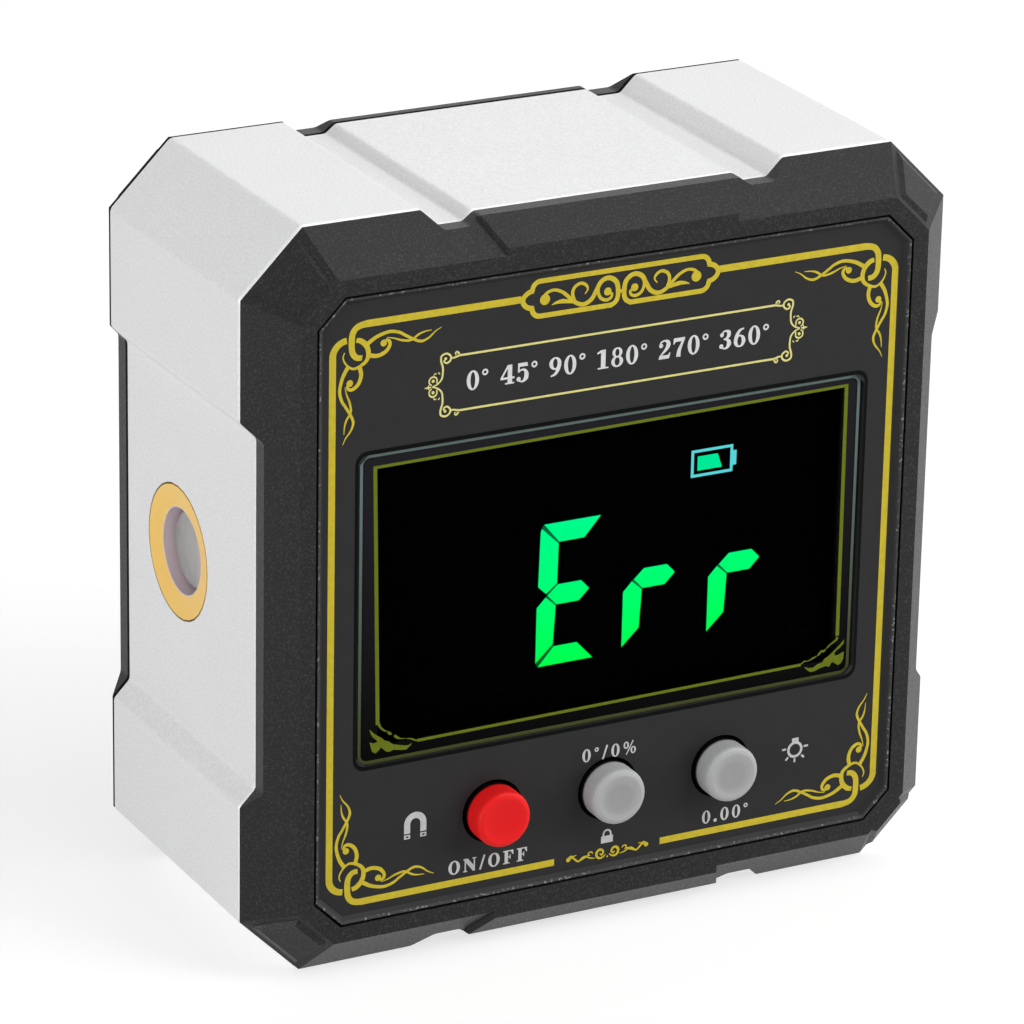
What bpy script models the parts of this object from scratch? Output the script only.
"""Digital angle gauge: an aluminium frame with a display at the front and two cells at the back.

Metres, +Z up. The display faces -Y, and the gauge stands on the two lower pads of its frame.
The origin is the middle of the gauge's footprint, at the level of those pads.
Depths are counted from the front rim: depth 0 is the flat rim round the panel, and depth grows
towards the back cover.
"""
from math import atan2, cos, pi, sin, sqrt, tan

import bmesh
import bpy
from mathutils import Vector

MM = 0.001

# Clearances
FIT_GAP = 0.30 * MM
FLUSH_GAP = 0.15 * MM
BORE_GAP = 0.30 * MM
EMBED = 0.50 * MM

# Cells and their contacts
CELL_LENGTH = 44.5 * MM
CELL_DIAMETER = 10.5 * MM
CELL_NUB_DIAMETER = 3.8 * MM
CELL_NUB_LENGTH = 1.0 * MM
CELL_RIM_ROUND = 0.6 * MM
CELL_SPACING = 1.0 * MM
CELL_DOOR_GAP = 0.8 * MM
CONTACT_THICKNESS = 0.4 * MM
CONTACT_HEIGHT = 8.0 * MM
CONTACT_TAB_WIDTH = 3.0 * MM
SPRING_LENGTH = 1.8 * MM
SPRING_WIRE = 0.5 * MM
SPRING_BASE_DIAMETER = 6.6 * MM
SPRING_TIP_DIAMETER = 3.6 * MM
SPRING_TURNS = 2.25

# Battery box and its door
BOX_WALL = 1.0 * MM
BOX_END_WALL = 0.9 * MM
BOX_GAP = 0.4 * MM
BOX_RIB_WIDTH = 1.6 * MM
BOX_RIB_HEIGHT = 1.5 * MM
BOX_RIB_INSET = 3.0 * MM
DOOR_THICKNESS = 1.2 * MM
DOOR_LEDGE = 0.6 * MM
DOOR_HOOK_WIDTH = 4.0 * MM
DOOR_HOOK_REACH = 0.8 * MM
DOOR_HOOK_ROOT = 0.9 * MM
DOOR_HOOK_THICKNESS = 0.8 * MM
DOOR_HOOK_SPREAD = 26.0 * MM
DOOR_TONGUE_WIDTH = 7.0 * MM
DOOR_TONGUE_CLEARANCE = 0.28 * MM
DOOR_TONGUE_GAP = 0.5 * MM
DOOR_TONGUE_THICKNESS = 0.9 * MM
DOOR_NOTCH_WIDTH = 10.0 * MM
DOOR_NOTCH_HEIGHT = 2.0 * MM
DOOR_NOTCH_DEPTH = 0.7 * MM
DOOR_GRIP_COUNT = 4
DOOR_GRIP_START = 2.8 * MM
DOOR_GRIP_PITCH = 1.4 * MM
DOOR_GRIP_LENGTH = 12.0 * MM
DOOR_GRIP_WIDTH = 0.6 * MM
DOOR_GRIP_DEPTH = 0.35 * MM

# Frame section, seen from the front
FRAME_WALL = 3.04 * MM
FRAME_TOP_WALL = 3.02 * MM
CORNER_CHAMFER = 5.0 * MM
PLATFORM_HALF = 11.0 * MM
PLATFORM_DROP = 0.68 * MM
PLATFORM_SIDE_RUN = 0.9 * MM
VALLEY_WIDTH = 2.1 * MM
VALLEY_DEPTH = 1.38 * MM
PAD_SIDE_RUN = 1.4 * MM
SIDE_RECESS_HALF = 14.1 * MM
SIDE_RECESS_DEPTH = 1.36 * MM
SIDE_STEP_RUN = 1.4 * MM
CORNER_ROUND = 0.7 * MM
STEP_ROUND = 0.6 * MM
EDGE_BREAK = 0.25 * MM
BORE_ROUND = 2.0 * MM

# Faceted shells in front of and behind the frame
BEVEL_RISE = 3.56 * MM
BEVEL_RUN = 3.35 * MM
SHELL_LAND = 0.10 * MM
RING_WIDTH = 1.30 * MM
PLATFORM_RAISE = 0.60 * MM
PLATFORM_FACET_INSET = 1.25 * MM
CORNER_PAD_OUTER_HALF = 2.75 * MM
CORNER_PAD_INNER_HALF = 1.70 * MM
CORNER_PAD_START = 0.40 * MM
CORNER_PAD_END = 3.25 * MM
CORNER_PAD_EDGE = 0.50 * MM
CORNER_PAD_TIP_EDGE = 0.25 * MM
CORNER_PAD_HEIGHT = 0.32 * MM
SKIRT_LENGTH = 4.0 * MM
SKIRT_WALL = 1.3 * MM

# Front panel, from the top edge of the panel downwards
PANEL_GAP = 0.20 * MM
PANEL_LAND = 0.10 * MM
PANEL_STEP = 0.40 * MM
PANEL_THICKNESS = 1.0 * MM
TITLE_BAND = 12.60 * MM
DISPLAY_HEIGHT = 25.1 * MM
BUTTON_TO_EDGE = 6.85 * MM
DISPLAY_SIDE_MARGIN = 3.45 * MM
DISPLAY_CORNER = 0.8 * MM
WINDOW_GAP = 0.20 * MM
WINDOW_STEP = 0.25 * MM
WINDOW_THICKNESS = 0.8 * MM
WINDOW_END_LEDGE = 1.1 * MM
WINDOW_LEDGE = 0.75 * MM
SHELL_FLOOR = 1.5 * MM

# Display module behind the window
GLASS_REAR = 1.1 * MM
GLASS_CONTACT_EDGE = 1.6 * MM
STRIP_HEIGHT = 1.8 * MM
STRIP_END_INSET = 2.3 * MM
HOLDER_WALL = 1.4 * MM
HOLDER_PEG_DIAMETER = 1.6 * MM

# Buttons and the switches under them
BUTTON_PITCH = 10.0 * MM
CAP_DIAMETER = 4.6 * MM
CAP_HOLE_GAP = 0.30 * MM
CAP_PROUD = 2.10 * MM
CAP_ROUND = 0.45 * MM
CAP_DISH = 0.12 * MM
CAP_DISH_DIAMETER = 2.8 * MM
CAP_FLANGE_DIAMETER = 6.2 * MM
CAP_FLANGE = 0.8 * MM
CAP_FLANGE_GAP = 0.4 * MM
BUTTON_TRAVEL = 0.5 * MM
SWITCH_WIDTH = 4.5 * MM
SWITCH_HEIGHT = 2.8 * MM
SWITCH_CLEARANCE = 0.5 * MM
SWITCH_CORNER = 0.6 * MM
PLUNGER_DIAMETER = 3.2 * MM
PLUNGER_SUNK = 1.2 * MM

# Circuit board and what it carries
BOARD_THICKNESS = 1.6 * MM
BOARD_GAP = 1.0 * MM
COMPONENT_ROOM = 6.72 * MM
CONTROLLER_OFFSET = 10.0 * MM
CONTROLLER_WIDTH = 10.0 * MM
CONTROLLER_HEIGHT = 1.4 * MM
TILT_SENSOR_WIDTH = 4.0 * MM
TILT_SENSOR_HEIGHT = 1.2 * MM
BUZZER_DIAMETER = 9.6 * MM
BUZZER_HEIGHT = 4.6 * MM
BUZZER_PORT = 2.0 * MM
BUZZER_PORT_DEPTH = 2.3 * MM
CRYSTAL_RISE = 9.15 * MM
CRYSTAL_LENGTH = 8.0 * MM
CRYSTAL_WIDTH = 3.2 * MM
CRYSTAL_HEIGHT = 2.6 * MM
CHIP_LEAN = 0.2 * MM

# Bosses, posts and screws
BOSS_INSET = 3.7 * MM
FRONT_BOSS_DIAMETER = 5.6 * MM
REAR_BOSS_DIAMETER = 6.4 * MM
FRONT_BOSS_END = 17.0 * MM
REAR_PLATE = 2.0 * MM
COVER_SCREW_DIAMETER = 2.0 * MM
COVER_SCREW_BITE = 6.0 * MM
COVER_HEAD_DIAMETER = 3.8 * MM
COVER_HEAD_HEIGHT = 1.5 * MM
COVER_WELL_DEPTH = 8.0 * MM
COVER_WELL_GAP = 0.4 * MM
POST_CLEARANCE = 0.42 * MM
POST_DIRECTION = 0.88
POST_DIAMETER = 3.6 * MM
BOARD_SCREW_DIAMETER = 1.6 * MM
BOARD_SCREW_BITE = 3.5 * MM
BOARD_HEAD_DIAMETER = 3.0 * MM
BOARD_HEAD_HEIGHT = 1.2 * MM
HEAD_ROUND = 0.3 * MM
CROSS_WIDTH = 0.5 * MM
CROSS_DEPTH = 0.7 * MM
CROSS_RIM = 0.6 * MM

# Magnets in the sides and the base
MAGNET_SETBACK = 13.9 * MM
BUSH_DIAMETER = 10.6 * MM
BUSH_BORE = 6.9 * MM
BUSH_HEIGHT = 2.1 * MM
BUSH_DISH = 0.35 * MM
MAGNET_SINK = 1.15 * MM
MAGNET_BEVEL = 0.2 * MM

# Fineness of round shapes
WELD_DISTANCE = 0.002 * MM
SMOOTH_ANGLE = pi / 5
ARC_SHARE = 0.48
ARC_STEPS = 3
BORE_STEPS = 6
PEG_STEPS = 12
HIDDEN_STEPS = 16
ROUND_STEPS = 24
FINE_STEPS = 32
COIL_STEPS = 14
WIRE_SIDES = 6

# Sizes that follow
valley_inner = PLATFORM_HALF + PLATFORM_SIDE_RUN
valley_outer = valley_inner + VALLEY_WIDTH
pad_start = valley_outer + PAD_SIDE_RUN
platform_facet_half = PLATFORM_HALF - PLATFORM_FACET_INSET
cell_pitch = CELL_DIAMETER + CELL_SPACING
contact_room = CONTACT_THICKNESS + 2 * FIT_GAP
box_inner_half_x = (CELL_LENGTH + SPRING_LENGTH + FIT_GAP) / 2 + contact_room
box_inner_half_z = cell_pitch / 2 + CELL_DIAMETER / 2 + FIT_GAP
box_outer_half_x = box_inner_half_x + BOX_END_WALL
box_outer_half_z = box_inner_half_z + BOX_WALL
bore_half_x = box_outer_half_x + BOX_GAP
half_width = bore_half_x + FRAME_WALL + SIDE_RECESS_DEPTH

holder_reach = GLASS_CONTACT_EDGE + HOLDER_WALL - WINDOW_LEDGE
button_drop = holder_reach + CAP_FLANGE_GAP + CAP_FLANGE_DIAMETER / 2
panel_margin = BEVEL_RUN + RING_WIDTH + PANEL_GAP
panel_height = TITLE_BAND + DISPLAY_HEIGHT + button_drop + BUTTON_TO_EDGE
half_height = panel_height / 2 + panel_margin
panel_half_x = half_width - panel_margin
panel_half_z = panel_height / 2
bore_half_z = half_height - VALLEY_DEPTH - FRAME_TOP_WALL

opening_half_x = panel_half_x - DISPLAY_SIDE_MARGIN
opening_half_z = DISPLAY_HEIGHT / 2
display_z = panel_half_z - TITLE_BAND - opening_half_z
button_z = display_z - opening_half_z - button_drop
sight_half_x = opening_half_x - WINDOW_END_LEDGE
sight_half_z = opening_half_z - WINDOW_LEDGE

panel_back = PANEL_STEP + PANEL_THICKNESS
floor_front = panel_back + FIT_GAP
floor_back = floor_front + SHELL_FLOOR
window_front = PANEL_STEP + WINDOW_STEP
window_back = window_front + WINDOW_THICKNESS
flange_front = floor_back + FIT_GAP
flange_back = flange_front + CAP_FLANGE
plunger_front = flange_back + FIT_GAP
switch_front = flange_back + BUTTON_TRAVEL + SWITCH_CLEARANCE
switch_back = switch_front + SWITCH_HEIGHT
board_front = switch_back + FIT_GAP
board_back = board_front + BOARD_THICKNESS
box_floor_front = board_back + COMPONENT_ROOM
box_floor_back = box_floor_front + BOX_WALL
cell_depth = box_floor_back + FIT_GAP + CELL_DIAMETER / 2
door_inner = cell_depth + CELL_DIAMETER / 2 + CELL_DOOR_GAP
total_depth = door_inner + DOOR_THICKNESS
frame_front = BEVEL_RISE
frame_back = total_depth - BEVEL_RISE

cap_front = PANEL_STEP - CAP_PROUD
rim_y = -(total_depth - cap_front) / 2 - cap_front
mid_z = half_height

boss_x = bore_half_x - BOSS_INSET
boss_z = bore_half_z - BOSS_INSET
post_reach = FRONT_BOSS_DIAMETER / 2 + BOARD_HEAD_DIAMETER / 2 + POST_CLEARANCE
post_x = boss_x - post_reach * cos(POST_DIRECTION)
post_z = boss_z - post_reach * sin(POST_DIRECTION)
cap_hole_diameter = CAP_DIAMETER + 2 * CAP_HOLE_GAP


def depth_y(depth):
    """The Y of a plane at this depth behind the front rim."""
    return rim_y + depth


def world(x, depth, z):
    """A point from its X, its depth and its height over the frame's middle."""
    return Vector((x, depth_y(depth), mid_z + z))


def clear_scene():
    for obj in list(bpy.data.objects):
        bpy.data.objects.remove(obj, do_unlink=True)


def material(name, colour, roughness, metallic=0.0, alpha=1.0):
    mat = bpy.data.materials.new(name)
    mat.use_nodes = True
    shader = mat.node_tree.nodes["Principled BSDF"]
    shader.inputs["Base Color"].default_value = (*colour, 1.0)
    shader.inputs["Roughness"].default_value = roughness
    shader.inputs["Metallic"].default_value = metallic
    shader.inputs["Alpha"].default_value = alpha
    mat.diffuse_color = (*colour, alpha)
    return mat


def make_object(name, bm, mat=None, smooth_angle=None):
    """An object from a bmesh, with every face turned outwards."""
    bmesh.ops.remove_doubles(bm, verts=bm.verts, dist=1e-7)
    bmesh.ops.recalc_face_normals(bm, faces=bm.faces)
    mesh = bpy.data.meshes.new(name)
    bm.to_mesh(mesh)
    bm.free()
    obj = bpy.data.objects.new(name, mesh)
    bpy.context.scene.collection.objects.link(obj)
    if mat:
        mesh.materials.append(mat)
    if smooth_angle:
        mesh.shade_smooth()
        mesh.set_sharp_from_angle(angle=smooth_angle)
    return obj


def skin(name, rings, mat=None, smooth_angle=None):
    """A closed body through rings of points that match one to one."""
    bm = bmesh.new()
    loops = [[bm.verts.new(point) for point in ring] for ring in rings]
    count = len(loops[0])
    for lower, upper in zip(loops, loops[1:]):
        for i in range(count):
            j = (i + 1) % count
            bm.faces.new((lower[i], lower[j], upper[j], upper[i]))
    bm.faces.new(reversed(loops[0]))
    bm.faces.new(loops[-1])
    return make_object(name, bm, mat, smooth_angle)


def ring_at(outline, depth):
    """An (x, z) outline about the frame's middle, laid in the plane at this depth."""
    return [world(x, depth, z) for x, z in outline]


def prism(name, outline, depth_0, depth_1, mat=None):
    return skin(name, [ring_at(outline, depth_0), ring_at(outline, depth_1)], mat)


def block(name, low, high, mat=None):
    """A box between two corners, each given as x, depth, z about the frame's middle."""
    outline = [(low[0], low[2]), (high[0], low[2]), (high[0], high[2]), (low[0], high[2])]
    return prism(name, outline, low[1], high[1], mat)


def spokes(axis, steps):
    """Unit vectors square to an axis, evenly spaced round it."""
    side = axis.orthogonal().normalized()
    other = axis.cross(side)
    return [side * cos(2 * pi * i / steps) + other * sin(2 * pi * i / steps) for i in range(steps)]


def turned(name, profile, centre, axis, mat=None, steps=ROUND_STEPS, smooth_angle=SMOOTH_ANGLE):
    """A body turned from a profile of (radius, distance along the axis) pairs."""
    axis = Vector(axis).normalized()
    bm = bmesh.new()
    loops = []
    for radius, along in profile:
        middle = Vector(centre) + axis * along
        if radius == 0:
            loops.append([bm.verts.new(middle)])
        else:
            loops.append([bm.verts.new(middle + spoke * radius) for spoke in spokes(axis, steps)])
    for first, second in zip(loops, loops[1:]):
        for i in range(steps):
            j = (i + 1) % steps
            near = [first[i % len(first)], first[j % len(first)]]
            far = [second[j % len(second)], second[i % len(second)]]
            bm.faces.new(list(dict.fromkeys(near + far)))
    if len(loops[0]) > 1:
        bm.faces.new(reversed(loops[0]))
    if len(loops[-1]) > 1:
        bm.faces.new(loops[-1])
    return make_object(name, bm, mat, smooth_angle)


def combine(target, tool, operation):
    """Boolean with a tool object, which stays in the file as a hidden guide."""
    modifier = target.modifiers.new(tool.name, "BOOLEAN")
    modifier.operation = operation
    modifier.solver = "EXACT"
    modifier.object = tool
    tool.hide_render = True
    tool.display_type = "WIRE"
    tool.hide_set(True)


def weld_all():
    """Close the hair-thin edges that cuts can leave."""
    for obj in bpy.data.objects:
        if obj.modifiers and not obj.hide_render:
            weld = obj.modifiers.new("weld", "WELD")
            weld.merge_threshold = WELD_DISTANCE


def cut(target, *tools):
    for tool in tools:
        combine(target, tool, "DIFFERENCE")


def add(target, *tools):
    for tool in tools:
        combine(target, tool, "UNION")


def keep_inside(target, tool):
    combine(target, tool, "INTERSECT")


def octagon(half_x, half_z, chamfer, grow=0.0):
    """A rectangle with 45 degree corners, grown evenly outwards by grow."""
    x = half_x + grow
    z = half_z + grow
    c = chamfer + grow * (2 - sqrt(2))
    upper = [(x, z - c), (x - c, z), (c - x, z), (-x, z - c)]
    return upper + [(-px, -pz) for px, pz in upper]


def rounded(points, radii, steps=ARC_STEPS):
    """A closed outline with an arc at each corner, of that corner's own radius.

    Two arcs that share a short side stop before its middle.
    """
    outline = []
    count = len(points)
    for i, (point, radius) in enumerate(zip(points, radii)):
        here = Vector(point)
        back = (Vector(points[i - 1]) - here)
        ahead = (Vector(points[(i + 1) % count]) - here)
        half_angle = back.angle(ahead) / 2
        reach = min(radius / tan(half_angle), back.length * ARC_SHARE, ahead.length * ARC_SHARE)
        bisector = (back.normalized() + ahead.normalized()).normalized()
        centre = here + bisector * reach / cos(half_angle)
        start = here + back.normalized() * reach - centre
        end = here + ahead.normalized() * reach - centre
        sweep = atan2(start.cross(end), start.dot(end))
        for k in range(steps + 1):
            angle = sweep * k / steps
            x = start.x * cos(angle) - start.y * sin(angle)
            z = start.x * sin(angle) + start.y * cos(angle)
            outline.append((centre.x + x, centre.y + z))
    return outline


def shrunk(outline, distance):
    """The outline moved evenly inwards; the outline runs anticlockwise in (x, z)."""
    moved = []
    count = len(outline)
    for i in range(count):
        here = Vector(outline[i])
        before = (here - Vector(outline[i - 1])).normalized()
        after = (Vector(outline[(i + 1) % count]) - here).normalized()
        inward = Vector((-before.y, before.x)) + Vector((-after.y, after.x))
        moved.append(tuple(here + inward.normalized() * distance / cos(before.angle(after) / 2)))
    return moved


def frame_outline():
    """The frame's outer section: pads, valleys and middle platforms, then side pads and recesses."""
    top = half_height
    side = half_width
    quarter = [
        (side - SIDE_RECESS_DEPTH, SIDE_RECESS_HALF, STEP_ROUND),
        (side, SIDE_RECESS_HALF + SIDE_STEP_RUN, STEP_ROUND),
        (side, top - CORNER_CHAMFER, CORNER_ROUND),
        (side - CORNER_CHAMFER, top, CORNER_ROUND),
        (pad_start, top, STEP_ROUND),
        (valley_outer, top - VALLEY_DEPTH, STEP_ROUND),
        (valley_inner, top - VALLEY_DEPTH, STEP_ROUND),
        (PLATFORM_HALF, top - PLATFORM_DROP, STEP_ROUND),
    ]
    turns = list(quarter)
    turns += [(-x, z, r) for x, z, r in reversed(quarter)]
    turns += [(-x, -z, r) for x, z, r in quarter]
    turns += [(x, -z, r) for x, z, r in reversed(quarter)]
    return rounded([(x, z) for x, z, _ in turns], [r for _, _, r in turns])


def bore_outline(inset=0.0):
    """The frame's opening, or the outline that a skirt inside it has."""
    x = bore_half_x - inset
    z = bore_half_z - inset
    radius = max(BORE_ROUND - inset, EDGE_BREAK)
    return rounded(rectangle(x, -z, z), [radius] * 4, BORE_STEPS)


def rectangle(half_x, low_z, high_z):
    return [(half_x, low_z), (half_x, high_z), (-half_x, high_z), (-half_x, low_z)]


def corners():
    return [(sx, sz) for sz in (1, -1) for sx in (-1, 1)]


def magnet_places():
    """Name, centre on the outer face and outward direction of each magnet."""
    depth = frame_front + MAGNET_SETBACK
    side = half_width - SIDE_RECESS_DEPTH
    base = half_height - PLATFORM_DROP
    return [
        ("left", world(-side, depth, 0), (-1, 0, 0)),
        ("right", world(side, depth, 0), (1, 0, 0)),
        ("base", world(0, depth, -base), (0, 0, -1)),
    ]


def build_frame(mat):
    outline = frame_outline()
    broken = shrunk(outline, EDGE_BREAK)
    rings = [
        ring_at(broken, frame_front),
        ring_at(outline, frame_front + EDGE_BREAK),
        ring_at(outline, frame_back - EDGE_BREAK),
        ring_at(broken, frame_back),
    ]
    frame = skin("frame", rings, mat)
    cut(frame, prism("frame_bore", bore_outline(), frame_front - EMBED, frame_back + EMBED))
    for name, centre, outward in magnet_places():
        radius = BUSH_DIAMETER / 2 + FLUSH_GAP
        profile = [(radius, EMBED), (radius, -BUSH_HEIGHT - FIT_GAP)]
        cut(frame, turned("pocket_" + name, profile, centre, outward, steps=FINE_STEPS))


def build_magnets(bush_mat, magnet_mat):
    for name, centre, outward in magnet_places():
        outer = BUSH_DIAMETER / 2
        bore = BUSH_BORE / 2
        bush_profile = [(outer, 0), (bore, -BUSH_DISH), (bore, -BUSH_HEIGHT), (outer, -BUSH_HEIGHT)]
        ring_body("magnet_bush_" + name, bush_profile, centre, outward, bush_mat, FINE_STEPS)
        radius = bore - BORE_GAP
        magnet_profile = [
            (radius - MAGNET_BEVEL, -MAGNET_SINK),
            (radius, -MAGNET_SINK - MAGNET_BEVEL),
            (radius, -BUSH_HEIGHT),
        ]
        turned("magnet_" + name, magnet_profile, centre, outward, magnet_mat, FINE_STEPS)


def ring_body(name, profile, centre, axis, mat, steps):
    """A ring turned from a closed profile that doesn't reach its axis."""
    axis = Vector(axis).normalized()
    bm = bmesh.new()
    columns = []
    for spoke in spokes(axis, steps):
        spots = [Vector(centre) + axis * along + spoke * radius for radius, along in profile]
        columns.append([bm.verts.new(spot) for spot in spots])
    for i in range(steps):
        here = columns[i]
        there = columns[(i + 1) % steps]
        for k in range(len(profile)):
            m = (k + 1) % len(profile)
            bm.faces.new((here[k], here[m], there[m], there[k]))
    return make_object(name, bm, mat, SMOOTH_ANGLE)


def corner_pad(name, sx, sz, plane_depth):
    """The raised four-sided pad on the sloping facet at one corner of a shell."""
    slope_run = BEVEL_RUN / (BEVEL_RISE - SHELL_LAND)
    middle_x = half_width - CORNER_CHAMFER / 2
    middle_z = half_height - CORNER_CHAMFER / 2
    chamfer_mid = Vector((sx * middle_x, sz * middle_z))
    inward = Vector((-sx, -sz)).normalized()
    along = Vector((sx, -sz)).normalized()
    slant = sqrt(1 + slope_run ** 2)

    def pad_ring(lift):
        """The pad's outline at a height over the facet. Its sides lean in towards the top."""
        edge = CORNER_PAD_EDGE * lift / CORNER_PAD_HEIGHT
        tip_edge = CORNER_PAD_TIP_EDGE * lift / CORNER_PAD_HEIGHT
        start = CORNER_PAD_START + edge
        end = CORNER_PAD_END - tip_edge
        outer_half = CORNER_PAD_OUTER_HALF - edge
        inner_half = CORNER_PAD_INNER_HALF - tip_edge
        outline = [(start, outer_half), (start, -outer_half), (end, -inner_half), (end, inner_half)]
        ring = []
        for forward, half in outline:
            run = (forward - SHELL_LAND) * slope_run - lift / slant
            spot = chamfer_mid + inward * run + along * half
            ring.append(world(spot.x, plane_depth(forward + lift * slope_run / slant), spot.y))
        return ring

    return skin(name, [pad_ring(-EMBED), pad_ring(CORNER_PAD_HEIGHT)])


def platform_wedge(name, sz, plane_depth):
    """The raised facet over the middle platform of the top or the base, its side walls leaning in."""
    slope = BEVEL_RUN / (BEVEL_RISE - SHELL_LAND)
    reach = SHELL_LAND + EMBED
    platform_start = SHELL_LAND + (PLATFORM_RAISE + PLATFORM_DROP) / slope
    wall_slope = (PLATFORM_HALF - platform_facet_half) / (BEVEL_RISE - platform_start)
    base_half = platform_facet_half + wall_slope * (BEVEL_RISE + EMBED)
    low = bore_half_z * sz
    near_z = sz * (half_height + PLATFORM_RAISE + reach * slope)
    far_z = sz * (half_height + PLATFORM_RAISE - BEVEL_RUN)
    near = ring_at(rectangle(base_half, low, near_z), plane_depth(-EMBED))
    far = ring_at(rectangle(platform_facet_half, low, far_z), plane_depth(BEVEL_RISE))
    return skin(name, [near, far])


def build_shell_form(name, plane_depth, raised_facets, mat):
    """The faceted form of the front bezel and the back cover.

    plane_depth turns a distance in front of the frame's face into a depth, and so sets which of the
    two shells is made.
    """
    slope = BEVEL_RUN / (BEVEL_RISE - SHELL_LAND)
    reach = SHELL_LAND + EMBED
    wide = octagon(half_width, half_height, CORNER_CHAMFER, reach * slope)
    ring = octagon(half_width, half_height, CORNER_CHAMFER, -BEVEL_RUN)
    shell = skin(name, [ring_at(wide, plane_depth(-EMBED)), ring_at(ring, plane_depth(BEVEL_RISE))], mat)
    for facet in raised_facets:
        add(shell, facet)
    for number, (sx, sz) in enumerate(corners(), 1):
        add(shell, corner_pad(f"{name}_corner_pad_{number}", sx, sz, plane_depth))
    start = plane_depth(FLUSH_GAP)
    end = plane_depth(BEVEL_RISE + EMBED)
    keep_inside(shell, prism(name + "_envelope", frame_outline(), start, end))
    return shell


def add_skirt(shell, name, root, rim, hollow_root, hollow_end):
    """The collar that centres a shell in the frame's bore, hollowed out together with the shell."""
    add(shell, prism(name, bore_outline(BORE_GAP), root, rim))
    inner = bore_outline(BORE_GAP + SKIRT_WALL)
    cut(shell, prism(name + "_hollow", inner, hollow_root, hollow_end))


def build_front_bezel(mat):
    """The front shell, with the recess for the panel, the bosses and the posts for the board."""

    def plane_depth(forward):
        return frame_front - forward

    wedges = [platform_wedge("top_wedge", 1, plane_depth), platform_wedge("base_wedge", -1, plane_depth)]
    bezel = build_shell_form("front_bezel", plane_depth, wedges, mat)
    recess = octagon(half_width, half_height, CORNER_CHAMFER, -BEVEL_RUN - RING_WIDTH)
    cut(bezel, prism("panel_recess", recess, -EMBED, floor_front))
    rim = frame_front + SKIRT_LENGTH
    add_skirt(bezel, "front_skirt", floor_back - EMBED, rim, floor_back, rim + EMBED)
    for number, (sx, sz) in enumerate(corners(), 1):
        place = (sx * boss_x, sz * boss_z)
        root = floor_back - EMBED
        add(bezel, post(f"front_boss_{number}", place, FRONT_BOSS_DIAMETER, root, FRONT_BOSS_END))
        bore = COVER_SCREW_DIAMETER + 2 * BORE_GAP
        bore_end = FRONT_BOSS_END - COVER_SCREW_BITE - 2 * FIT_GAP
        cut(bezel, post(f"front_pilot_{number}", place, bore, bore_end, FRONT_BOSS_END + EMBED))
        place = (sx * post_x, sz * post_z)
        add(bezel, post(f"board_post_{number}", place, POST_DIAMETER, root, board_front - FIT_GAP))
        bore = BOARD_SCREW_DIAMETER + 2 * BORE_GAP
        bore_end = board_front - BOARD_SCREW_BITE - FIT_GAP
        cut(bezel, post(f"post_pilot_{number}", place, bore, bore_end, board_front))
    sight = rectangle(sight_half_x, display_z - sight_half_z, display_z + sight_half_z)
    cut(bezel, prism("sight_opening", sight, floor_front - EMBED, floor_back + EMBED))
    for name, x in button_places():
        cut(bezel, button_hole("bezel_hole_" + name, x, floor_front, floor_back, ROUND_STEPS))


def post(name, place, diameter, depth_0, depth_1, mat=None, steps=HIDDEN_STEPS):
    """A round post along the depth, at an (x, z) place about the frame's middle."""
    centre = world(place[0], 0, place[1])
    profile = [(diameter / 2, depth_0), (diameter / 2, depth_1)]
    return turned(name, profile, centre, (0, 1, 0), mat, steps)


def button_places():
    return [("power", -BUTTON_PITCH), ("hold", 0.0), ("zero", BUTTON_PITCH)]


def button_hole(name, x, depth_0, depth_1, steps):
    return post(name, (x, button_z), cap_hole_diameter, depth_0 - EMBED, depth_1 + EMBED, steps=steps)


def display_outline(inset):
    points = octagon(opening_half_x - inset, opening_half_z - inset, DISPLAY_CORNER)
    return [(x, z + display_z) for x, z in points]


def build_front_panel(mat):
    """The printed plate: a raised rim, sloping down to the flat face."""
    edge = -panel_margin
    rim = edge - PANEL_LAND
    outer = octagon(half_width, half_height, CORNER_CHAMFER, edge)
    inner = octagon(half_width, half_height, CORNER_CHAMFER, rim - PANEL_STEP)
    over = octagon(half_width, half_height, CORNER_CHAMFER, rim + EMBED)
    panel = prism("front_panel", outer, 0, panel_back, mat)
    cut(panel, skin("panel_dish", [ring_at(over, -EMBED), ring_at(inner, PANEL_STEP)]))
    cut(panel, prism("display_opening", display_outline(0), -EMBED, panel_back + EMBED))
    for name, x in button_places():
        cut(panel, button_hole("panel_hole_" + name, x, 0, panel_back, FINE_STEPS))


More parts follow.
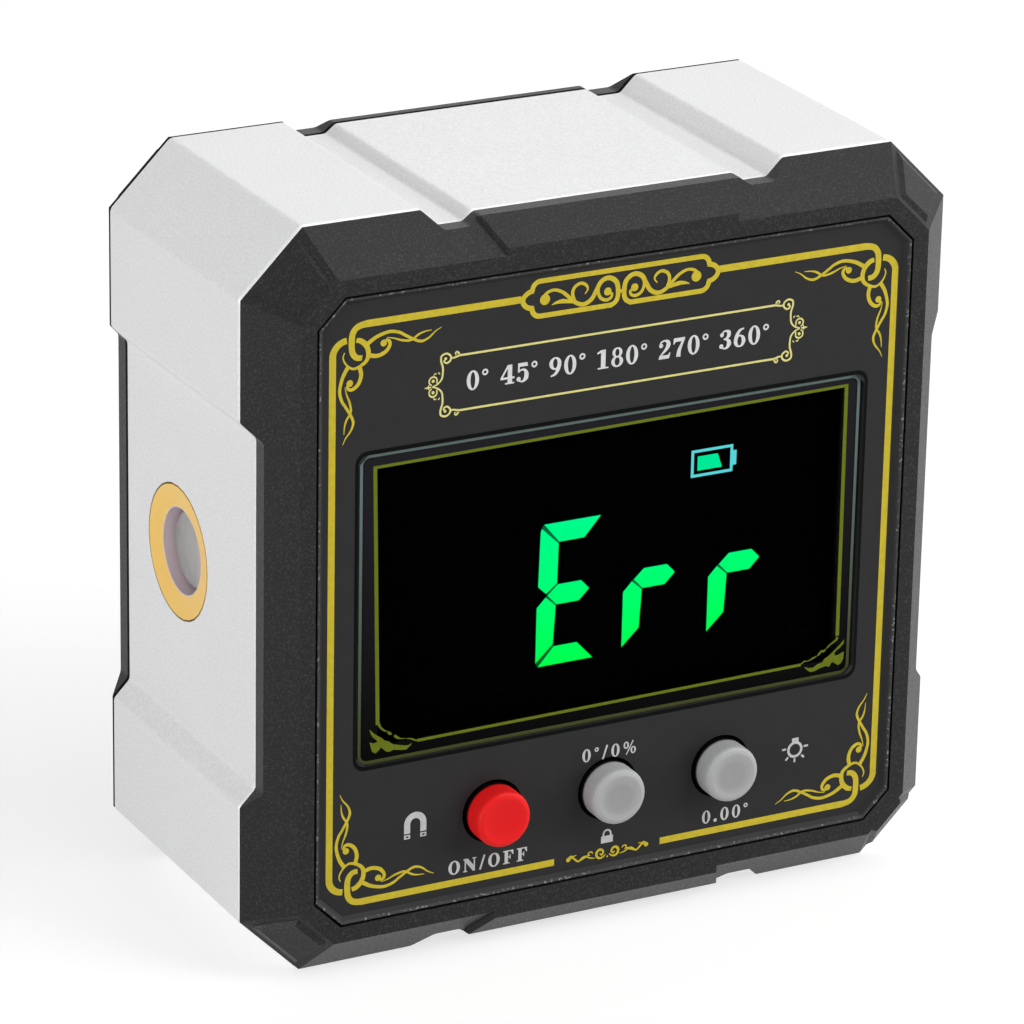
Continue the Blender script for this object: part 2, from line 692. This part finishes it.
def build_display(window_mat, glass_mat, light_mat, strip_mat, holder_mat):
    prism("display_window", display_outline(WINDOW_GAP), window_front, window_back, window_mat)

    glass_half_x = sight_half_x - BORE_GAP
    glass_top = display_z + sight_half_z - BORE_GAP
    glass_low = display_z - sight_half_z + BORE_GAP
    contact_low = glass_low - GLASS_CONTACT_EDGE
    step = floor_back + FIT_GAP
    whole_glass = rectangle(glass_half_x, contact_low, glass_top)
    glass = prism("lcd_glass", whole_glass, step, step + GLASS_REAR, glass_mat)
    sight_glass = rectangle(glass_half_x, glass_low, glass_top)
    add(glass, prism("lcd_front_glass", sight_glass, window_back + FIT_GAP, step + GLASS_REAR / 2))

    light_front = step + GLASS_REAR + FIT_GAP
    light_back = board_front - FIT_GAP
    strip_top = contact_low + STRIP_HEIGHT
    light = rectangle(glass_half_x, strip_top + FIT_GAP, glass_top)
    prism("backlight", light, light_front, light_back, light_mat)
    strip = rectangle(glass_half_x - STRIP_END_INSET, contact_low, strip_top)
    prism("connector_strip", strip, light_front, light_back, strip_mat)

    inner_half_x = glass_half_x + BORE_GAP
    inner_low = contact_low - BORE_GAP
    inner_top = glass_top + BORE_GAP
    outer = rectangle(inner_half_x + HOLDER_WALL, inner_low - HOLDER_WALL, inner_top + HOLDER_WALL)
    holder = prism("lcd_holder", outer, step, light_back, holder_mat)
    inner = rectangle(inner_half_x, inner_low, inner_top)
    cut(holder, prism("holder_opening", inner, step - EMBED, light_back + EMBED))
    thickness = HOLDER_PEG_DIAMETER - FIT_GAP
    for number, place in enumerate(peg_places(), 1):
        name = f"holder_peg_{number}"
        add(holder, post(name, place, thickness, light_back - EMBED, board_back, steps=PEG_STEPS))


def peg_places():
    x = sight_half_x + HOLDER_WALL / 2
    low = display_z - sight_half_z - GLASS_CONTACT_EDGE - HOLDER_WALL / 2
    high = display_z + sight_half_z + HOLDER_WALL / 2
    return [(-x, high), (x, high), (-x, low), (x, low)]


def build_button(name, x, cap_mat, plunger_mat, switch_mat):
    """A cap with its flange behind the shell floor, over a push switch."""
    radius = CAP_DIAMETER / 2
    flange = CAP_FLANGE_DIAMETER / 2
    profile = [(0, cap_front + CAP_DISH), (CAP_DISH_DIAMETER / 2, cap_front + CAP_DISH / 2)]
    for k in range(ARC_STEPS + 1):
        angle = pi / 2 * k / ARC_STEPS
        edge = radius - CAP_ROUND * (1 - sin(angle))
        profile.append((edge, cap_front + CAP_ROUND * (1 - cos(angle))))
    profile += [(radius, flange_front), (flange, flange_front), (flange, flange_back)]
    cap = turned(name + "_button", profile, world(x, 0, button_z), (0, 1, 0), cap_mat, FINE_STEPS)
    set_origin(cap, world(x, cap_front, button_z))

    place = (x, button_z)
    plunger_back = switch_front + PLUNGER_SUNK
    plunger = post(name + "_plunger", place, PLUNGER_DIAMETER, plunger_front, plunger_back, plunger_mat)
    set_origin(plunger, world(x, cap_front, button_z))

    half = SWITCH_WIDTH / 2
    outline = [(px + x, pz + button_z) for px, pz in octagon(half, half, SWITCH_CORNER)]
    switch = prism(name + "_switch", outline, switch_front, switch_back, switch_mat)
    well = PLUNGER_DIAMETER + 2 * BORE_GAP
    well_end = plunger_back + BUTTON_TRAVEL + FIT_GAP
    cut(switch, post(name + "_switch_well", place, well, switch_front - EMBED, well_end))


def set_origin(obj, point):
    """Move an object's origin, and leave its mesh where it is."""
    for vert in obj.data.vertices:
        vert.co -= point
    obj.location = point


def build_board(board_mat, chip_mat, buzzer_mat, crystal_mat):
    half_x = bore_half_x - BOARD_GAP
    half_z = bore_half_z - BOARD_GAP
    boss_reach = (FRONT_BOSS_DIAMETER / 2 + BORE_GAP) * sqrt(2)
    chamfer = half_x + half_z - (boss_x + boss_z - boss_reach)
    board = prism("circuit_board", octagon(half_x, half_z, chamfer), board_front, board_back, board_mat)
    for number, (sx, sz) in enumerate(corners(), 1):
        hole = BOARD_SCREW_DIAMETER + 2 * BORE_GAP
        place = (sx * post_x, sz * post_z)
        cut(board, post(f"board_screw_hole_{number}", place, hole, board_front - EMBED, board_back + EMBED))
    hole = HOLDER_PEG_DIAMETER + FIT_GAP
    for number, place in enumerate(peg_places(), 1):
        name = f"board_peg_hole_{number}"
        cut(board, post(name, place, hole, board_front - EMBED, board_back + EMBED, steps=PEG_STEPS))

    seat = board_back + FIT_GAP
    half = CONTROLLER_WIDTH / 2
    chip("controller_chip", (-CONTROLLER_OFFSET, 0), half, half, seat, CONTROLLER_HEIGHT, chip_mat)
    half = TILT_SENSOR_WIDTH / 2
    chip("tilt_sensor", (0, 0), half, half, seat, TILT_SENSOR_HEIGHT, chip_mat)
    half = CRYSTAL_LENGTH / 2
    chip("crystal", (0, CRYSTAL_RISE), half, CRYSTAL_WIDTH / 2, seat, CRYSTAL_HEIGHT, crystal_mat)
    top = seat + BUZZER_HEIGHT
    profile = [
        (BUZZER_PORT / 2, top - BUZZER_PORT_DEPTH),
        (BUZZER_PORT / 2, top),
        (BUZZER_DIAMETER / 2, top),
        (BUZZER_DIAMETER / 2, seat),
    ]
    turned("buzzer", profile, world(0, 0, button_z), (0, 1, 0), buzzer_mat)


def chip(name, place, half_x, half_z, seat, height, mat):
    """A moulded package: its sides lean in towards the top."""
    rings = []
    for inset, depth in ((0, seat), (CHIP_LEAN, seat + height)):
        outline = rectangle(half_x - inset, inset - half_z, half_z - inset)
        rings.append(ring_at([(x + place[0], z + place[1]) for x, z in outline], depth))
    return skin(name, rings, mat)


def screw(name, place, head_depth, tip_depth, shank, head, head_height, mat):
    """A pan-head screw along the depth. Its head is at the back, with a cross recess."""
    top = head_depth + head_height
    profile = [
        (shank / 4, tip_depth),
        (shank / 2, tip_depth + shank / 2),
        (shank / 2, head_depth),
        (head / 2, head_depth),
        (head / 2, top - HEAD_ROUND),
        (head / 2 - HEAD_ROUND, top),
    ]
    centre = world(place[0], 0, place[1])
    body = turned(name, profile, centre, (0, 1, 0), mat, HIDDEN_STEPS)
    arm = head / 2 - CROSS_RIM
    x, z = place
    for label, half_x, half_z in (("x", arm, CROSS_WIDTH / 2), ("z", CROSS_WIDTH / 2, arm)):
        low = (x - half_x, top - CROSS_DEPTH, z - half_z)
        high = (x + half_x, top + EMBED, z + half_z)
        cut(body, block(f"{name}_slot_{label}", low, high))


def build_screws(mat):
    for number, (sx, sz) in enumerate(corners(), 1):
        seat = total_depth - COVER_WELL_DEPTH + FIT_GAP
        tip = FRONT_BOSS_END - COVER_SCREW_BITE
        screw(f"cover_screw_{number}", (sx * boss_x, sz * boss_z), seat, tip, COVER_SCREW_DIAMETER,
              COVER_HEAD_DIAMETER, COVER_HEAD_HEIGHT, mat)
        seat = board_back + FIT_GAP
        tip = board_front - BOARD_SCREW_BITE
        screw(f"board_screw_{number}", (sx * post_x, sz * post_z), seat, tip, BOARD_SCREW_DIAMETER,
              BOARD_HEAD_DIAMETER, BOARD_HEAD_HEIGHT, mat)


def build_back_cover(mat):
    """The rear shell, with the battery box moulded in and the screw wells."""
    cover = build_shell_form("back_cover", lambda forward: frame_back + forward, [], mat)
    plate_inner = total_depth - REAR_PLATE
    rim = frame_back - SKIRT_LENGTH
    add_skirt(cover, "rear_skirt", plate_inner + EMBED, rim, plate_inner, rim - EMBED)
    box = rectangle(box_outer_half_x, -box_outer_half_z, box_outer_half_z)
    add(cover, prism("battery_box", box, box_floor_front, plate_inner + EMBED))
    inner = rectangle(box_inner_half_x, -box_inner_half_z, box_inner_half_z)
    cut(cover, prism("battery_space", inner, box_floor_back, total_depth + EMBED))
    rib_half = box_inner_half_x - BOX_RIB_INSET
    low = (-rib_half, box_floor_back - EMBED, -BOX_RIB_WIDTH / 2)
    high = (rib_half, box_floor_back + BOX_RIB_HEIGHT, BOX_RIB_WIDTH / 2)
    add(cover, block("cell_rib", low, high))
    ledge_z = box_inner_half_z + DOOR_LEDGE
    rebate = rectangle(box_inner_half_x + DOOR_LEDGE, -ledge_z, ledge_z)
    cut(cover, prism("door_rebate", rebate, door_inner - FIT_GAP, total_depth + EMBED))
    for number, x in enumerate(hook_places(), 1):
        half = DOOR_HOOK_WIDTH / 2 + FIT_GAP
        top = ledge_z + DOOR_HOOK_REACH + FIT_GAP
        slot_front = door_inner - DOOR_HOOK_THICKNESS - 2 * FIT_GAP
        cut(cover, block(f"hook_slot_{number}", (x - half, slot_front, 0), (x + half, door_inner, top)))
    low = (-DOOR_NOTCH_WIDTH / 2, total_depth - DOOR_NOTCH_DEPTH, -ledge_z - DOOR_NOTCH_HEIGHT)
    high = (DOOR_NOTCH_WIDTH / 2, total_depth + EMBED, EMBED - ledge_z)
    cut(cover, block("finger_notch", low, high))
    for number, (sx, sz) in enumerate(corners(), 1):
        place = (sx * boss_x, sz * boss_z)
        start = FRONT_BOSS_END + FIT_GAP
        add(cover, post(f"rear_boss_{number}", place, REAR_BOSS_DIAMETER, start, plate_inner + EMBED))
        hole = COVER_SCREW_DIAMETER + 2 * BORE_GAP
        cut(cover, post(f"rear_hole_{number}", place, hole, start - EMBED, total_depth))
        well = COVER_HEAD_DIAMETER + 2 * COVER_WELL_GAP
        bottom = total_depth - COVER_WELL_DEPTH
        name = f"screw_well_{number}"
        cut(cover, post(name, place, well, bottom, total_depth + EMBED, steps=ROUND_STEPS))
    for number, (x, z) in enumerate(tab_places(), 1):
        half_x = CONTACT_THICKNESS / 2 + FIT_GAP
        half_z = CONTACT_TAB_WIDTH / 2 + FIT_GAP
        low = (x - half_x, box_floor_front - EMBED, z - half_z)
        high = (x + half_x, box_floor_back + EMBED, z + half_z)
        cut(cover, block(f"tab_slot_{number}", low, high))


def hook_places():
    return (-DOOR_HOOK_SPREAD / 2, DOOR_HOOK_SPREAD / 2)


def tab_places():
    x = box_inner_half_x - FIT_GAP - CONTACT_THICKNESS / 2
    return [(x, cell_pitch / 2), (x, -cell_pitch / 2)]


def build_battery_door(mat):
    """The door turns out about its upper edge, where two hooks sit behind the cover."""
    half_x = box_inner_half_x + DOOR_LEDGE - FIT_GAP
    half_z = box_inner_half_z + DOOR_LEDGE - FIT_GAP
    door = prism("battery_door", rectangle(half_x, -half_z, half_z), door_inner, total_depth, mat)
    for number, x in enumerate(hook_places(), 1):
        left = x - DOOR_HOOK_WIDTH / 2
        right = x + DOOR_HOOK_WIDTH / 2
        front = door_inner - FIT_GAP - DOOR_HOOK_THICKNESS
        root_top = half_z - FIT_GAP
        low = (left, front, root_top - DOOR_HOOK_ROOT)
        add(door, block(f"door_hook_{number}", low, (right, door_inner + EMBED, root_top)))
        low = (left, front, root_top - EMBED)
        high = (right, door_inner - FIT_GAP, half_z + DOOR_HOOK_REACH)
        add(door, block(f"door_hook_tip_{number}", low, high))
    tongue_z = -box_inner_half_z + DOOR_TONGUE_GAP
    tongue_top = tongue_z + DOOR_TONGUE_THICKNESS
    drop = -cell_pitch / 2 - tongue_top
    tongue_tip = cell_depth + sqrt((CELL_DIAMETER / 2 + DOOR_TONGUE_CLEARANCE) ** 2 - drop ** 2)
    low = (-DOOR_TONGUE_WIDTH / 2, tongue_tip, tongue_z)
    high = (DOOR_TONGUE_WIDTH / 2, door_inner + EMBED, tongue_top)
    add(door, block("door_tongue", low, high))
    for k in range(DOOR_GRIP_COUNT):
        z = DOOR_GRIP_START + k * DOOR_GRIP_PITCH - half_z
        low = (-DOOR_GRIP_LENGTH / 2, total_depth - DOOR_GRIP_DEPTH, z - DOOR_GRIP_WIDTH / 2)
        high = (DOOR_GRIP_LENGTH / 2, total_depth + EMBED, z + DOOR_GRIP_WIDTH / 2)
        cut(door, block(f"door_grip_{k + 1}", low, high))
    set_origin(door, world(0, total_depth, half_z))


def build_cells(cell_mat, contact_mat, spring_mat):
    """Two cells in series, nose to tail, with a flat contact and a spring at each end."""
    plate_x = box_inner_half_x - FIT_GAP
    radius = CELL_DIAMETER / 2
    for number, (facing, z) in enumerate(((1, cell_pitch / 2), (-1, -cell_pitch / 2)), 1):
        nose = plate_x - CONTACT_THICKNESS - FIT_GAP
        shoulder = nose - CELL_NUB_LENGTH
        tail = nose - CELL_LENGTH
        profile = [
            (radius - CELL_RIM_ROUND, tail),
            (radius, tail + CELL_RIM_ROUND),
            (radius, shoulder - CELL_RIM_ROUND),
            (radius - CELL_RIM_ROUND, shoulder),
            (CELL_NUB_DIAMETER / 2, shoulder),
            (CELL_NUB_DIAMETER / 2, nose),
        ]
        turned(f"cell_{number}", profile, world(0, cell_depth, z), (facing, 0, 0), cell_mat)
        base = world(-facing * (plate_x - CONTACT_THICKNESS - FIT_GAP), cell_depth, z)
        build_spring(f"contact_spring_{number}", base, facing, spring_mat)

    half = CONTACT_HEIGHT / 2
    low_x = plate_x - CONTACT_THICKNESS
    front = cell_depth - half
    back = cell_depth + half
    reach = cell_pitch / 2 + half
    block("link_contact", (-plate_x, front, -reach), (-low_x, back, reach), contact_mat)
    for name, (x, z) in zip(("positive_contact", "negative_contact"), tab_places()):
        plate = block(name, (low_x, front, z - half), (plate_x, back, z + half), contact_mat)
        tab_low = (low_x, board_back + FIT_GAP, z - CONTACT_TAB_WIDTH / 2)
        tab_high = (plate_x, front + EMBED, z + CONTACT_TAB_WIDTH / 2)
        add(plate, block(name + "_tab", tab_low, tab_high))


def build_spring(name, base, facing, mat):
    """A cone-shaped coil that stands on its contact and narrows towards the cell."""
    wire = SPRING_WIRE / 2
    steps = int(SPRING_TURNS * COIL_STEPS)
    rise = SPRING_LENGTH - SPRING_WIRE
    narrowing = (SPRING_BASE_DIAMETER - SPRING_TIP_DIAMETER) / 2

    def centre_at(k):
        share = k / steps
        angle = 2 * pi * SPRING_TURNS * share
        radius = SPRING_BASE_DIAMETER / 2 - wire - narrowing * share
        return Vector((facing * (wire + rise * share), radius * cos(angle), radius * sin(angle)))

    rings = []
    for k in range(steps + 1):
        here = centre_at(k)
        ahead = (centre_at(k + 1) - centre_at(k - 1)).normalized()
        outward = Vector((0, here.y, here.z)).normalized()
        across = ahead.cross(outward).normalized()
        outward = across.cross(ahead)
        angles = [2 * pi * i / WIRE_SIDES for i in range(WIRE_SIDES)]
        rings.append([base + here + (outward * cos(a) + across * sin(a)) * wire for a in angles])
    skin(name, rings, mat, pi / 3)


def main():
    clear_scene()
    aluminium = material("bead_blasted_aluminium", (0.72, 0.72, 0.72), 0.42, 1.0)
    shell_plastic = material("black_shell_plastic", (0.020, 0.020, 0.021), 0.55)
    panel_paint = material("panel_charcoal", (0.030, 0.030, 0.031), 0.60)
    clear_plastic = material("window_clear", (0.35, 0.40, 0.42), 0.08, 0.0, 0.35)
    lcd_dark = material("lcd_dark", (0.010, 0.014, 0.012), 0.15)
    diffuser = material("backlight_diffuser", (0.75, 0.78, 0.76), 0.40)
    strip_rubber = material("connector_rubber", (0.55, 0.20, 0.30), 0.60)
    holder_plastic = material("holder_plastic", (0.03, 0.03, 0.03), 0.60)
    red_cap = material("red_cap", (0.75, 0.03, 0.03), 0.45)
    grey_cap = material("grey_cap", (0.30, 0.30, 0.30), 0.45)
    plunger_plastic = material("plunger_plastic", (0.02, 0.02, 0.02), 0.50)
    switch_plastic = material("switch_plastic", (0.05, 0.05, 0.05), 0.50)
    board_green = material("board_green", (0.02, 0.16, 0.06), 0.45)
    chip_black = material("chip_black", (0.03, 0.03, 0.03), 0.55)
    crystal_can = material("crystal_can", (0.60, 0.60, 0.58), 0.30, 1.0)
    screw_steel = material("screw_steel", (0.35, 0.35, 0.36), 0.35, 1.0)
    cell_wrap = material("cell_wrap", (0.05, 0.22, 0.12), 0.35)
    contact_metal = material("contact_metal", (0.65, 0.64, 0.60), 0.30, 1.0)
    spring_metal = material("spring_metal", (0.60, 0.60, 0.58), 0.28, 1.0)
    door_plastic = material("door_plastic", (0.022, 0.022, 0.023), 0.55)
    bush_plastic = material("bush_orange", (0.85, 0.50, 0.10), 0.50)
    magnet_metal = material("magnet_metal", (0.30, 0.31, 0.30), 0.35, 1.0)

    build_frame(aluminium)
    build_magnets(bush_plastic, magnet_metal)
    build_front_bezel(shell_plastic)
    build_front_panel(panel_paint)
    build_display(clear_plastic, lcd_dark, diffuser, strip_rubber, holder_plastic)
    for name, x in button_places():
        cap_mat = red_cap if name == "power" else grey_cap
        build_button(name, x, cap_mat, plunger_plastic, switch_plastic)
    build_board(board_green, chip_black, chip_black, crystal_can)
    build_screws(screw_steel)
    build_back_cover(shell_plastic)
    build_battery_door(door_plastic)
    build_cells(cell_wrap, contact_metal, spring_metal)
    weld_all()


main()
